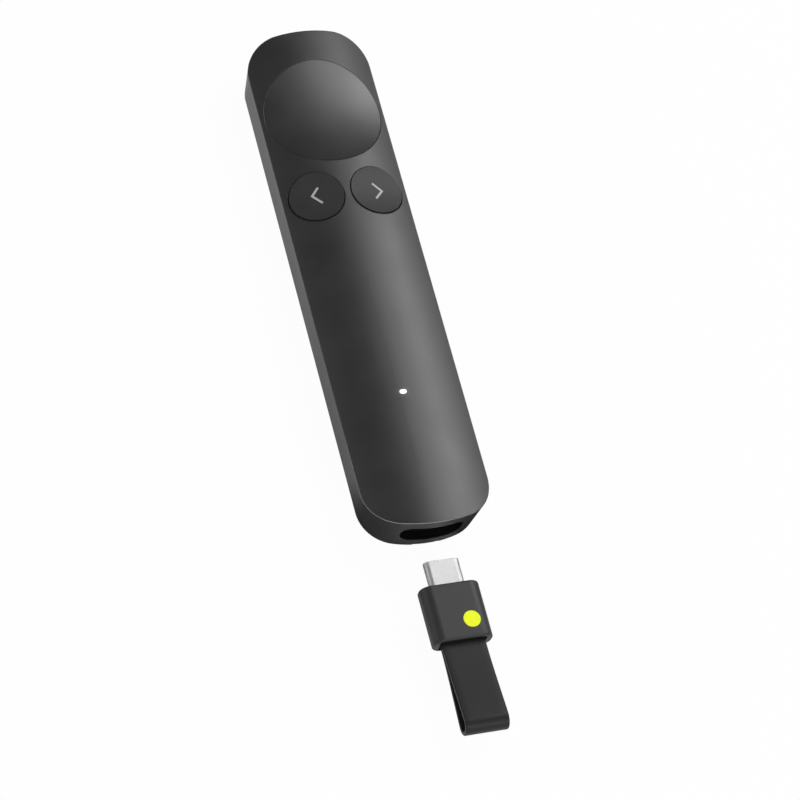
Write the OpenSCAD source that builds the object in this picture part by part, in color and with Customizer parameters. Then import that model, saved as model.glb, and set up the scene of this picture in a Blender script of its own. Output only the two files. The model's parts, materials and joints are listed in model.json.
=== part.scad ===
// Wireless presentation clicker with a pull-out receiver.
// The handset lies on its back: +Z points out of the buttons, +Y points at the pointer end
// and the receiver slot is at the -Y end. The origin is the middle of the flat underside.

/* [Handset] */
// Overall length of the handset
body_l = 131.1; // [120:0.1:145]
// Width across the two long top edges
body_w = 30; // [29.4:0.1:36]
// Height at the middle of the crown
body_h = 14; // [13.6:0.1:18]
// Fall of the crown from the middle to the long edges
crown_drop = 3.6; // [3:0.1:4]
// Outward lean of the walls for each millimetre of height
lean_share = 0.09; // [0.05:0.01:0.12]
// How much larger the pointer end's radius is than the radius of its corners
point_bulge = 80; // [65:5:90]
// How much larger the slot end's radius is than the radius of its corners
slot_bulge = 18; // [14:0.5:24]
// Rounding of the bottom edge
foot_round = 0.8; // [0.3:0.1:0.9]

/* [Shells] */
// Thickness of the crowned roof
roof_t = 1.6; // [1.2:0.1:1.8]
// Distance from the top edge line in to the cavity wall
cavity_inset = 2.85; // [2.5:0.05:3.2]
// Width of the ledge that the base cover seats against
ledge_w = 0.7; // [0.5:0.1:0.8]
// Thickness of the base cover
floor_t = 1.2; // [1:0.1:1.4]
// Width of the pry notch in the slot end's bottom edge
notch_w = 6.4; // [4:0.1:9]
// Height of the pry notch
notch_h = 0.9; // [0.5:0.1:1.1]

/* [Buttons] */
// Distance from the handset's long top edges to the large pointer pad
pad_edge = 1.1; // [1:0.02:3]
// Distance from the pointer end to the pad
pad_end = 8.35; // [7:0.01:12]
// Depth of the dish in the pad
pad_dish = 1.5; // [0.8:0.1:1.6]
// Distance from the handset's long top edges to the small buttons
button_edge = 1.45; // [1.15:0.01:3]
// Distance from the centreline to the small buttons
button_mid = 0.97; // [0.75:0.01:1.5]
// Distance from the pad to the small buttons
button_web = 3.64; // [3:0.02:7]
// How far the small buttons stand out of the crown
button_proud = 0.3; // [0:0.05:0.6]
// Depth of the dish in the small buttons
button_dish = 0.6; // [0.3:0.05:0.8]
// Travel of every button when pressed
press_travel = 0.35; // [0.15:0.05:0.4]

/* [Status light] */
// Length of the lens across the handset
lens_l = 1.7; // [1.2:0.1:3]
// Width of the lens along the handset
lens_w = 1.1; // [0.8:0.1:1.6]
// Distance from the slot end to the lens
lens_in = 33.05; // [30:0.05:42]

/* [Receiver] */
// Width of the receiver's casing
receiver_w = 13.9; // [13:0.1:14.5]
// Thickness of the receiver's casing
receiver_t = 5.8; // [5.4:0.1:6.2]
// Radius of the casing's long corners
receiver_r = 2.6; // [2:0.1:2.65]
// Length of the casing without its plug
receiver_l = 13.55; // [13:0.05:14]
// Clear space beside the casing in its slot
slot_gap = 0.3; // [0.2:0.05:0.4]
// Clear space above and below the casing in its slot
slot_lift = 0.6; // [0.4:0.05:0.75]
// How far the receiver is pulled out of its seat
receiver_out = 27.4; // [24:0.1:35]
// Width of the strap
strap_w = 10.1; // [8:0.1:10.4]
// Thickness of one run of the strap
strap_t = 0.9; // [0.6:0.05:1]
// Outer radius of the strap's far bend
strap_bend_r = 2.55; // [2.2:0.05:3.2]
// Length of strap outside the casing
strap_reach = 21.2; // [16:0.1:30]

/* [Power] */
// Space between the battery and the side walls
battery_side = 3.15; // [2.8:0.05:6]
// Space between the battery and the circuit board
battery_over = 1.2; // [1:0.05:3]
// Distance from the circuit board's slot end to the battery
battery_in = 19; // [17:0.5:30]
// Distance from the pointer pad's middle to the battery
battery_pad = 18.7; // [17:0.1:30]

/* [Hidden] */
// Rendering and shared clearances
$fn = 96;
over = 1;
panel_gap = 0.1;
run_gap = 0.05;
fit_gap = 0.02;
pad_gap = 0.08;
button_gap = 0.2;

// Crown and outline
crown_r = (body_w * body_w / 4 + crown_drop * crown_drop) / (2 * crown_drop);
crown_z = body_h - crown_r;
edge_z = body_h - crown_drop;
ref_l = body_l - 2 * crown_drop * lean_share;
// The direction in which each corner arc runs into its end arc is that of a whole-number
// triangle, (237, 3116, 3125) or (7, 24, 25), so the arcs meet without rounding errors
point_meet_shares = [237 / 3125, 3116 / 3125];
slot_meet_shares = [7 / 25, 24 / 25];
far = 1000;
point_x = point_bulge * point_meet_shares[0];
point_corner_r = body_w / 2 - point_x;
point_end_r = point_corner_r + point_bulge;
point_c = ref_l / 2 - point_end_r;
point_y = point_c + point_bulge * point_meet_shares[1];
slot_x = slot_bulge * slot_meet_shares[0];
slot_corner_r = body_w / 2 - slot_x;
slot_end_r = slot_corner_r + slot_bulge;
slot_c = ref_l / 2 - slot_end_r;
slot_y = slot_c + slot_bulge * slot_meet_shares[1];
rebate_inset = cavity_inset - ledge_w;
wall_depth = 6;
// How far the filling behind the outline's seams reaches towards the outline: across, out
// over the corners, and out at the middle of the ends
seam_shares = [0.9, 0.65, 0.95];

// Levels, from the floor up
dock_drop = 6.9;
axis_z = body_h - dock_drop;
board_t = 0.8;
board_z = axis_z - board_t / 2;
board_top = board_z + board_t;
frame_lift = 0.5;
frame_z = board_top + frame_lift;
frame_t = 1.1;
frame_top = frame_z + frame_t;
cap_clear = 0.25;
cap_z = frame_top + press_travel + cap_clear;
pocket_h = 0.7;
pocket_z = cap_z + pocket_h;
pad_rim = 2.34;
cap_rim = 1.3;

// Places of the buttons and the lens
pad_r = body_w / 2 - pad_edge;
pad_y = body_l / 2 - pad_end - pad_r;
button_r = (body_w / 2 - button_edge - button_mid) / 2;
button_x = button_mid + button_r;
button_y = pad_y - sqrt(pow(pad_r + button_web + button_r, 2) - button_x * button_x);
lens_y = lens_in - body_l / 2;

// Circuit board and its screws
board_side = 1.25;
board_inset = cavity_inset + board_side;
board_half_w = body_w / 2 - board_inset;
screw_edge = 1.9;
side_screw_x = board_half_w - screw_edge;
far_screw_share = 0.688;
far_screw_in = 6.5;
mid_screw_gap = 3.65;
near_screw_in = 13;
screw_r = 0.75;
screw_bite = 1.8;
head_r = 1.4;
head_t = 0.9;
boss_r = 1.8;

// Receiver slot and the sockets behind it
casing_flat = 0.3;
casing_r = min(receiver_r, receiver_t / 2 - casing_flat);
slot_w = receiver_w + 2 * slot_gap;
slot_h = receiver_t + 2 * slot_lift;
slot_r = casing_r + slot_gap;
sleeve_wall = 1.2;
sleeve_back = 1;
seat_gap = 0.2;
sunk_in = 0.95;
dock_y = sunk_in + receiver_l + seat_gap - body_l / 2;
shoulder_y = dock_y - seat_gap - receiver_out;
board_gap = 0.35;
board_y = dock_y + sleeve_back + board_gap;
screw_spots = [
    [board_half_w * far_screw_share, ref_l / 2 - far_screw_in],
    [side_screw_x, button_y - button_r - mid_screw_gap],
    [side_screw_x, board_y + near_screw_in],
];

// Plug and receptacle, to the common small reversible connector
plug_w = 8.25;
plug_t = 2.4;
plug_l = 6.35;
plug_wall = 0.25;
plug_root = 1.8;
plug_nose = 0.3;
plug_side_gap = 0.045;
plug_face_gap = 0.08;
plug_end_gap = 0.25;
mouth_w = plug_w + 2 * plug_side_gap;
mouth_t = plug_t + 2 * plug_face_gap;
socket_wall = 0.3;
socket_block = 1;
socket_l = plug_l - seat_gap + plug_end_gap + socket_block;
tongue_w = 6.69;
tongue_t = 0.7;
tongue_l = 5.5;
tongue_side_gap = 0.105;
tongue_end_gap = 0.45;
ear_w = 1.4;
ear_l = 1.6;
ear_in = 1;
pin_count = 12;
pin_pitch = 0.5;
pin_w = 0.25;
pin_l = 3.6;
pin_gap = 0.06;
plug_pin_t = 0.06;
tongue_pin_t = 0.04;
pin_back = 0.8;
plug_slot_w = tongue_w + 2 * tongue_side_gap;
plug_slot_h = tongue_t + 2 * (tongue_pin_t + pin_gap + plug_pin_t);
plug_slot_l = tongue_l - plug_end_gap + tongue_end_gap;

// Guide pins, tabs and switches of the buttons
pad_pin_share = 0.614;
pad_pin_x = pad_r * pad_pin_share;
pad_pin_r = 0.9;
button_pin_share = 0.68;
button_pin_y = button_r * button_pin_share;
button_pin_r = 0.7;
pad_tab_w = 6;
button_tab_w = 3.6;
tab_l = 1.2;
stem_r = 1.5;
switch_w = 4.6;
switch_h = 2;
collar_r = 1.9;
collar_h = 0.25;
switch_floor = 0.5;
plunger_r = 1.2;
plunger_up = 0.6;
window_gap = 0.3;
plunger_z = board_top + switch_h + plunger_up;

// Light, radio, motor and battery
lens_flange = 0.7;
lens_flange_t = 0.6;
led_l = 1.6;
led_w = 0.8;
led_t = 0.6;
led_gap = 0.2;
chip_w = 5;
chip_t = 0.85;
chip_y = (lens_y + screw_spots[1][1] - boss_r) / 2;
motor_r = 4;
motor_t = 2.7;
tape_t = 0.3;
tape_edge = 1.5;
battery_z = floor_t + tape_t;
battery_t = board_z - battery_over - battery_z;
battery_w = body_w - 2 * (cavity_inset + battery_side);
battery_from = board_y + battery_in;
battery_to = pad_y - battery_pad;
battery_l = battery_to - battery_from;
battery_y = (battery_from + battery_to) / 2;
battery_round_share = 0.4;
battery_r = battery_t * battery_round_share;
socket_w = 5;
socket_d = 3;
socket_t = 1.4;
lead_r = 0.45;
lead_x = 0.9;
lead_run = 5;
lead_bend = (board_z - socket_t / 2 - battery_z - battery_t / 2) / 2;

// Base cover's clips, fence and ribs
clip_w = 5;
clip_t = 0.8;
clip_h = 5.2;
clip_lip = 0.45;
clip_lip_h = 0.9;
clip_shares = [-0.26, -0.06, 0.23];
clip_ys = [for (share = clip_shares) body_l * share];
fence_t = 0.8;
fence_h = 2;
fence_gap = 0.3;
fence_share = 0.75;
rib_t = 1.2;
rib_x = 4;
rib_l = 7;

// Receiver casing
casing_wall = 0.8;
casing_edge = 0.5;
chamber_w = receiver_w - 2 * casing_wall;
chamber_t = receiver_t - 2 * casing_wall;
chamber_r = casing_r - casing_wall;
nose_t = 1.2;
recess_side = 0.3;
recess_w = strap_w + 2 * recess_side;
recess_t = chamber_t;
recess_l = 1.3;
recess_r = 0.5;
tang_gap = 0.1;
tang_l = 4.5;
tang_out = 0.8;
tang_wall = 0.75;
touch_share = 0.99;
strap_pin_r = 0.6;
strap_pin_in = 2.9;
strap_pin_cover = 0.7;
strap_pin_l = receiver_t - 2 * strap_pin_cover;
chamber_l = receiver_l - tang_l - tang_gap - tang_wall;
stick_side = 0.85;
stick_end = 0.8;
stick_w = chamber_w - 2 * stick_side;
stick_l = chamber_l - plug_root - stick_end;
stick_t = 0.8;
stick_chip_edge = 0.8;
stick_chip_w = stick_l - 2 * stick_chip_edge;
stick_chip_t = 0.75;

// Height of the crown's surface over a point, and of the roof's underside
function crown_at(x) = crown_z + sqrt(crown_r * crown_r - x * x);
function roof_at(x) = crown_z + sqrt(pow(crown_r - roof_t, 2) - x * x);
// Height of a leaning wall's foot inside the top edge line
function lean_at(z) = (edge_z - z) * lean_share;

// A quarter of a disc, in the first quadrant
module quarter(r) {
    intersection() {
        circle(r = r);
        square(2 * r);
    }
}

// Half of a disc, on the +X side
module half_disc(r) {
    intersection() {
        circle(r = r);
        translate([0, -2 * r]) square([2 * r, 4 * r]);
    }
}

// The part of the plane in which a corner arc lies, seen from the arc's centre
module corner_sector(meet) {
    polygon([[0, 0], [far, 0], [far, far], far * meet]);
}

// The part of the plane in which an end arc lies, seen from the arc's centre
module end_sector(meet) {
    polygon([[0, 0], far * meet, [-far * meet[0], far * meet[1]]]);
}

// Fills in behind the seams of the outline, a little inside its edge
module behind_seams(inset) {
    side = (body_w / 2 - inset) * seam_shares[0];
    point_out = (point_corner_r - inset) * seam_shares[1];
    point_ahead = (point_corner_r - inset) * seam_shares[2];
    slot_out = (slot_corner_r - inset) * seam_shares[1];
    slot_ahead = (slot_corner_r - inset) * seam_shares[2];
    polygon([[side, -slot_y], [side, point_y], [point_x + point_out, point_y + point_out],
        [0, point_y + point_ahead], [-point_x - point_out, point_y + point_out], [-side, point_y],
        [-side, -slot_y], [-slot_x - slot_out, -slot_y - slot_out], [0, -slot_y - slot_ahead],
        [slot_x + slot_out, -slot_y - slot_out]]);
}

// The handset's outline, drawn in from the top edge line by an inset
module outline(inset) {
    half_w = body_w / 2 - inset;
    behind_seams(inset);
    polygon([[half_w, -slot_y], [half_w, point_y], [point_x, point_y], [-point_x, point_y],
        [-half_w, point_y], [-half_w, -slot_y], [-slot_x, -slot_y], [slot_x, -slot_y]]);
    polygon([[-point_x, point_y], [point_x, point_y], [0, point_c]]);
    polygon([[-slot_x, -slot_y], [slot_x, -slot_y], [0, -slot_c]]);
    for (side = [0, 1]) {
        mirror([side, 0]) {
            translate([point_x, point_y]) intersection() {
                circle(r = point_corner_r - inset);
                corner_sector(point_meet_shares);
            }
            translate([slot_x, -slot_y]) mirror([0, 1]) intersection() {
                circle(r = slot_corner_r - inset);
                corner_sector(slot_meet_shares);
            }
        }
    }
    translate([0, point_c]) intersection() {
        circle(r = point_end_r - inset, $fn = 480);
        end_sector(point_meet_shares);
    }
    translate([0, -slot_c]) mirror([0, 1]) intersection() {
        circle(r = slot_end_r - inset, $fn = 480);
        end_sector(slot_meet_shares);
    }
}

// One end of the swept edge: two corners and the bulge between them
module sweep_end(x, y, c, corner_r, end_r, meet) {
    for (side = [0, 1]) {
        mirror([side, 0, 0]) translate([x, y, 0]) intersection() {
            rotate_extrude() translate([corner_r, 0]) mirror([1, 0]) children();
            translate([0, 0, -over]) linear_extrude(body_h + 2 * over) corner_sector(meet);
        }
    }
    translate([0, c, 0]) intersection() {
        rotate_extrude($fn = 480) translate([end_r, 0]) mirror([1, 0]) children();
        translate([0, 0, -over]) linear_extrude(body_h + 2 * over) end_sector(meet);
    }
}

// Sweeps an edge profile round the outline: x is the inset, y the height
module round_the_edge() {
    for (side = [0, 1]) {
        mirror([side, 0, 0]) translate([0, point_y, 0]) rotate([90, 0, 0])
            linear_extrude(point_y + slot_y) translate([body_w / 2, 0]) mirror([1, 0]) children();
    }
    sweep_end(point_x, point_y, point_c, point_corner_r, point_end_r, point_meet_shares) children();
    mirror([0, 1, 0])
        sweep_end(slot_x, slot_y, slot_c, slot_corner_r, slot_end_r, slot_meet_shares) children();
}

// Section of the wall: a leaning outer face with a rounded foot
module wall_profile() {
    foot = lean_at(foot_round);
    polygon([[foot + foot_round, 0], [wall_depth, 0], [wall_depth, body_h],
        [lean_at(body_h), body_h], [foot, foot_round], [foot + foot_round, foot_round]]);
    translate([foot + foot_round, foot_round]) rotate([0, 0, 180]) quarter(foot_round);
}

// Everything under the crown, or under a surface that lies a little deeper
module under_crown(deeper = 0) {
    translate([0, 0, crown_z]) rotate([90, 0, 0])
        cylinder(r = crown_r - deeper, h = 2 * body_l, center = true, $fn = 240);
}

// A straight bar along Y with rounded long corners, from y0 to y1
module bar(w, t, r, y0, y1) {
    translate([0, y1, 0]) rotate([90, 0, 0]) linear_extrude(y1 - y0) {
        square([w, t - 2 * r], center = true);
        square([w - 2 * r, t], center = true);
        for (sx = [0, 1], sy = [0, 1]) {
            mirror([sx, 0]) mirror([0, sy]) translate([w / 2 - r, t / 2 - r]) quarter(r);
        }
    }
}

// A flat pill along X
module pill(l, w) {
    square([l - w, w], center = true);
    for (side = [0, 1]) {
        mirror([side, 0]) translate([l / 2 - w / 2, 0]) half_disc(w / 2);
    }
}

// A straight bar along Y with half-round sides, from y0 to y1
module pill_bar(w, t, y0, y1) {
    translate([0, y1, 0]) rotate([90, 0, 0]) linear_extrude(y1 - y0) pill(w, t);
}

// Repeats a child at each screw, right and left
module at_screws(first = 0, last = 2) {
    for (i = [first : last]) {
        for (side = [-1, 1]) {
            translate([side * screw_spots[i][0], screw_spots[i][1], 0]) children();
        }
    }
}

// Repeats a child over the centre of each button
module at_buttons() {
    translate([0, pad_y, 0]) children();
    for (side = [-1, 1]) {
        translate([side * button_x, button_y, 0]) children();
    }
}

// The body that carves a dish into a pad of radius r whose rim lies on the crown:
// it sags along the handset and is crowned across it
module dish_cutter(r, dish, side_fall) {
    along_r = (r * r + dish * dish) / (2 * dish);
    rise = side_fall - dish;
    across_r = (r * r + rise * rise) / (2 * rise);
    translate([0, 0, along_r - dish]) rotate([0, 90, 0]) rotate_extrude($fn = 240) difference() {
        translate([0, -r - over]) square([along_r + side_fall, 2 * (r + over)]);
        translate([along_r + across_r, 0]) circle(r = across_r, $fn = 240);
    }
}

// Opening of the receiver's slot, running inward from outside the end wall
module slot_space() {
    translate([0, 0, axis_z]) bar(slot_w, slot_h, slot_r, -body_l / 2 - over, dock_y);
}

// Underside tab that keeps a button in the roof, with its top just below the roof
module button_tab(r, w, x) {
    top = roof_at(x + w / 2) - run_gap;
    for (side = [0, 1]) {
        mirror([0, side, 0]) translate([-w / 2, 0, cap_z]) cube([w, r + tab_l, top - cap_z]);
    }
}

module housing() {
    color("#38393b") difference() {
        union() {
            difference() {
                intersection() {
                    union() {
                        round_the_edge() wall_profile();
                        linear_extrude(body_h) outline(wall_depth - over);
                    }
                    under_crown();
                }
                intersection() {
                    translate([0, 0, -over]) linear_extrude(body_h) outline(cavity_inset);
                    under_crown(roof_t);
                }
                translate([0, 0, -over]) linear_extrude(floor_t + over) outline(rebate_inset);
            }
            intersection() {
                union() {
                    translate([0, 0, frame_top]) at_screws(0, 1) cylinder(r = boss_r, h = body_h, $fn = 48);
                    translate([0, 0, board_top]) at_screws(2, 2) cylinder(r = boss_r, h = body_h, $fn = 48);
                }
                under_crown(roof_t / 2);
            }
        }
        translate([0, pad_y, frame_top]) cylinder(r = pad_r + pad_gap, h = body_h);
        for (side = [-1, 1]) {
            translate([side * button_x, button_y, frame_top])
                cylinder(r = button_r + button_gap, h = body_h);
        }
        translate([0, lens_y, axis_z]) linear_extrude(body_h)
            pill(lens_l + 2 * run_gap, lens_w + 2 * run_gap);
        slot_space();
        translate([-notch_w / 2, -body_l / 2, -over])
            cube([notch_w, cavity_inset + over, notch_h + over]);
        at_screws() cylinder(r = screw_r + run_gap, h = frame_top + screw_bite + panel_gap, $fn = 32);
        for (side = [0, 1], y = clip_ys) {
            mirror([side, 0, 0]) translate([body_w / 2 - cavity_inset - over, y - clip_w / 2 - panel_gap,
                floor_t + clip_h - clip_lip_h - panel_gap])
                cube([over + clip_lip + panel_gap, clip_w + 2 * panel_gap, clip_lip_h + 2 * panel_gap]);
        }
    }
}

module base_cover() {
    clip_x = body_w / 2 - cavity_inset - panel_gap - clip_t;
    color("#343537") {
        linear_extrude(floor_t) outline(rebate_inset + panel_gap);
        for (side = [0, 1], y = clip_ys) {
            mirror([side, 0, 0]) translate([clip_x, y - clip_w / 2, 0]) {
                cube([clip_t, clip_w, floor_t + clip_h]);
                translate([0, 0, floor_t + clip_h - clip_lip_h])
                    cube([clip_t + panel_gap + clip_lip, clip_w, clip_lip_h]);
            }
        }
        for (side = [0, 1]) {
            mirror([side, 0, 0]) translate([battery_w / 2 + fence_gap,
                battery_y - battery_l * fence_share / 2, 0])
                cube([fence_t, battery_l * fence_share, floor_t + fence_h]);
        }
        for (side = [-1, 1]) {
            translate([side * rib_x - rib_t / 2, dock_y - sleeve_back - rib_l, 0])
                cube([rib_t, rib_l, axis_z - slot_h / 2 - sleeve_wall]);
        }
    }
}

module dock_sleeve() {
    color("#0c0c0d") difference() {
        intersection() {
            translate([0, 0, axis_z]) bar(slot_w + 2 * sleeve_wall, slot_h + 2 * sleeve_wall,
                slot_r + sleeve_wall, -body_l / 2, dock_y + sleeve_back);
            translate([0, 0, floor_t]) linear_extrude(body_h) outline(cavity_inset + panel_gap);
            under_crown(roof_t + panel_gap);
        }
        slot_space();
        translate([0, 0, axis_z]) pill_bar(mouth_w + 2 * socket_wall + 2 * run_gap,
            mouth_t + 2 * socket_wall + 2 * run_gap, dock_y - over, dock_y + sleeve_back + over);
    }
}

module button_frame() {
    color("#1e1f21") difference() {
        translate([0, 0, board_top]) linear_extrude(frame_lift + frame_t) intersection() {
            outline(board_inset);
            translate([-body_w / 2, screw_spots[1][1] - boss_r])
                square([body_w, body_l]);
        }
        translate([0, 0, board_top - over]) linear_extrude(frame_lift + over) difference() {
            translate([-body_w / 2, 0]) square([body_w, body_l]);
            at_screws(0, 1) circle(r = boss_r, $fn = 48);
        }
        at_buttons() translate([0, 0, board_top - over]) linear_extrude(body_h)
            square(switch_w + 2 * window_gap, center = true);
        at_screws() cylinder(r = screw_r + run_gap, h = body_h, $fn = 32);
        for (side = [-1, 1]) {
            translate([side * pad_pin_x, pad_y, 0])
                cylinder(r = pad_pin_r + run_gap, h = body_h, $fn = 48);
        }
        for (side = [-1, 1], end = [-1, 1]) {
            translate([side * button_x, button_y + end * button_pin_y, 0])
                cylinder(r = button_pin_r + run_gap, h = body_h, $fn = 48);
        }
    }
}

module main_board() {
    notch = mouth_w + 2 * socket_wall + 2 * panel_gap;
    color("#1f5a3c") translate([0, 0, board_z]) linear_extrude(board_t) difference() {
        intersection() {
            outline(board_inset);
            translate([-body_w / 2, board_y]) square([body_w, body_l]);
        }
        translate([-notch / 2, board_y - over])
            square([notch, dock_y + socket_l + panel_gap - board_y + over]);
        at_screws() circle(r = screw_r + run_gap, $fn = 32);
    }
}

module pointer_pad() {
    color("#3c3d3f") {
        translate([0, pad_y, 0]) {
            difference() {
                union() {
                    translate([0, 0, cap_z]) cylinder(r = pad_r, h = body_h - cap_z);
                    button_tab(pad_r, pad_tab_w, 0);
                }
                translate([0, 0, body_h]) dish_cutter(pad_r, pad_dish, body_h - crown_at(pad_r));
                translate([0, 0, cap_z - over]) cylinder(r = pad_r - pad_rim, h = pocket_h + over);
            }
            translate([0, 0, plunger_z]) cylinder(r = stem_r, h = pocket_z - plunger_z + over / 2, $fn = 48);
            for (side = [-1, 1]) {
                translate([side * pad_pin_x, 0, frame_z])
                    cylinder(r = pad_pin_r, h = pocket_z - frame_z + over / 2, $fn = 48);
            }
        }
    }
}

// The left one of the small round buttons: its top leans with the crown, is straight across
// the handset and sags along it, so its rim stays level with the crown all round
module small_button() {
    lean = asin(button_x / crown_r);
    dish_r = (button_r * button_r + button_dish * button_dish) / (2 * button_dish);
    rim_fall = crown_r - sqrt(crown_r * crown_r - button_r * button_r);
    color("#333436") translate([-button_x, button_y, 0]) {
        difference() {
            union() {
                translate([0, 0, cap_z]) cylinder(r = button_r, h = body_h - cap_z + button_proud);
                button_tab(button_r, button_tab_w, button_x);
            }
            translate([button_x, 0, crown_z]) rotate([0, -lean, 0])
                translate([0, 0, crown_r + button_proud - rim_fall + dish_r])
                rotate([0, 90, 0]) cylinder(r = dish_r, h = 4 * button_r, center = true, $fn = 240);
            translate([0, 0, cap_z - over]) cylinder(r = button_r - cap_rim, h = pocket_h + over);
        }
        translate([0, 0, plunger_z]) cylinder(r = stem_r, h = pocket_z - plunger_z + over / 4, $fn = 48);
        for (end = [-1, 1]) {
            translate([0, end * button_pin_y, frame_z])
                cylinder(r = button_pin_r, h = pocket_z - frame_z + over / 4, $fn = 48);
        }
    }
}

module back_button() {
    small_button();
}

module next_button() {
    mirror([1, 0, 0]) small_button();
}

// The plunger of a switch, at rest against its button's stem
module plunger(x, y) {
    foot = board_top + switch_floor + press_travel + panel_gap;
    color("#b9b9b4") translate([x, y, foot]) cylinder(r = plunger_r, h = plunger_z - foot, $fn = 48);
}

module pad_plunger() {
    plunger(0, pad_y);
}

module back_plunger() {
    plunger(-button_x, button_y);
}

module next_plunger() {
    plunger(button_x, button_y);
}

// The case of a switch, with the bore that its plunger runs in
module switch_case(x, y) {
    color("#2b2c2e") translate([x, y, board_top]) difference() {
        union() {
            translate([-switch_w / 2, -switch_w / 2, 0])
                cube([switch_w, switch_w, switch_h - collar_h]);
            cylinder(r = collar_r, h = switch_h, $fn = 48);
        }
        translate([0, 0, switch_floor]) cylinder(r = plunger_r + run_gap, h = switch_h, $fn = 48);
    }
}

module pad_switch() {
    switch_case(0, pad_y);
}

module back_switch() {
    switch_case(-button_x, button_y);
}

module next_switch() {
    switch_case(button_x, button_y);
}

module status_lens() {
    foot = board_top + led_t + led_gap;
    flange_top = roof_at(lens_l / 2 + lens_flange) - run_gap;
    color("#f4f4ee") {
        intersection() {
            translate([0, lens_y, foot]) linear_extrude(body_h) pill(lens_l, lens_w);
            under_crown();
        }
        translate([0, lens_y, flange_top - lens_flange_t]) linear_extrude(lens_flange_t)
            pill(lens_l + 2 * lens_flange, lens_w + 2 * lens_flange);
    }
}

module status_led() {
    color("#e8e6d8") translate([-led_l / 2, lens_y - led_w / 2, board_top])
        cube([led_l, led_w, led_t]);
}

module radio_chip() {
    color("#202124") translate([-chip_w / 2, chip_y - chip_w / 2, board_top])
        cube([chip_w, chip_w, chip_t]);
}

module receptacle_shell() {
    out_w = mouth_w + 2 * socket_wall;
    out_t = mouth_t + 2 * socket_wall;
    color("#c9cacb") {
        translate([0, 0, axis_z]) difference() {
            pill_bar(out_w, out_t, dock_y, dock_y + socket_l);
            pill_bar(mouth_w, mouth_t, dock_y - over, dock_y + socket_l + over);
        }
        for (side = [-1, 1]) {
            translate([side * (out_w / 2 + ear_w / 2 - socket_wall / 2) - ear_w / 2,
                board_y + ear_in, board_top])
                cube([ear_w, ear_l, socket_wall]);
        }
    }
}

module receptacle_tongue() {
    back = dock_y + socket_l;
    color("#1a1a1b") translate([0, 0, axis_z]) {
        pill_bar(mouth_w - 2 * fit_gap, mouth_t - 2 * fit_gap, back - socket_block, back);
        translate([-tongue_w / 2, back - socket_block - tongue_l, -tongue_t / 2])
            cube([tongue_w, tongue_l + socket_block / 2, tongue_t]);
    }
}

// A row of contacts above and below the connector's middle plane, from y0
module contact_rows(y0, l, z, t) {
    for (i = [0 : pin_count - 1], face = [0, 1]) {
        mirror([0, 0, face]) translate([(i - (pin_count - 1) / 2) * pin_pitch - pin_w / 2, y0, z])
            cube([pin_w, l, t]);
    }
}

module receptacle_contacts() {
    color("#c8a040") translate([0, 0, axis_z])
        contact_rows(dock_y + socket_l - socket_block - tongue_l + pin_back, pin_l, tongue_t / 2,
            tongue_pin_t);
}

module battery() {
    color("#a9adb0") translate([0, battery_y, battery_z + battery_t / 2])
        bar(battery_w, battery_t, battery_r, -battery_l / 2, battery_l / 2);
}

module battery_tape() {
    tape_l = battery_l - 2 * tape_edge;
    tape_w = battery_w - 2 * battery_r;
    color("#d8d4c4") translate([-tape_w / 2, battery_y - tape_l / 2, floor_t])
        cube([tape_w, tape_l, tape_t]);
}

// One lead: straight out of the battery, up through two quarter bends, and into the socket
module lead(x) {
    start = battery_y + battery_l / 2;
    low = battery_z + battery_t / 2;
    stub = (lead_run - 2 * lead_bend) / 2;
    translate([x, start, low]) {
        rotate([-90, 0, 0]) cylinder(r = lead_r, h = stub, $fn = 24);
        translate([0, stub, lead_bend]) rotate([90, 0, 90]) rotate([0, 0, -90])
            rotate_extrude(angle = 90, $fn = 32) translate([lead_bend, 0]) circle(r = lead_r, $fn = 24);
        translate([0, stub + 2 * lead_bend, lead_bend]) rotate([90, 0, 90]) rotate([0, 0, 90])
            rotate_extrude(angle = 90, $fn = 32) translate([lead_bend, 0]) circle(r = lead_r, $fn = 24);
        translate([0, stub + 2 * lead_bend, 2 * lead_bend]) rotate([-90, 0, 0])
            cylinder(r = lead_r, h = stub, $fn = 24);
    }
}

module battery_leads() {
    color("#8c2f2a") {
        lead(-lead_x);
        lead(lead_x);
    }
}

module battery_socket() {
    color("#e6e2d2") translate([-socket_w / 2, battery_y + battery_l / 2 + lead_run, board_z - socket_t])
        cube([socket_w, socket_d, socket_t]);
}

module haptic_motor() {
    color("#b4b6b8") translate([0, pad_y, board_z - motor_t]) cylinder(r = motor_r, h = motor_t);
}

module board_screws() {
    shank = frame_top + screw_bite - board_z;
    color("#8d8f92") at_screws() {
        translate([0, 0, board_z]) cylinder(r = screw_r, h = shank, $fn = 32);
        translate([0, 0, board_z - head_t]) cylinder(r = head_r, h = head_t, $fn = 48);
    }
}

// Places a piece of the receiver, whose own zero is the casing's plug end
module on_receiver() {
    translate([0, shoulder_y, axis_z]) children();
}

// Half of the casing's side: a profile with rounded ends, x out from the corner's axis
module casing_profile() {
    r = casing_r;
    e = casing_edge;
    translate([0, e]) square([r, receiver_l - 2 * e]);
    square([r - e, receiver_l]);
    translate([r - e, e]) mirror([0, 1]) quarter(e);
    translate([r - e, receiver_l - e]) quarter(e);
}

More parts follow.
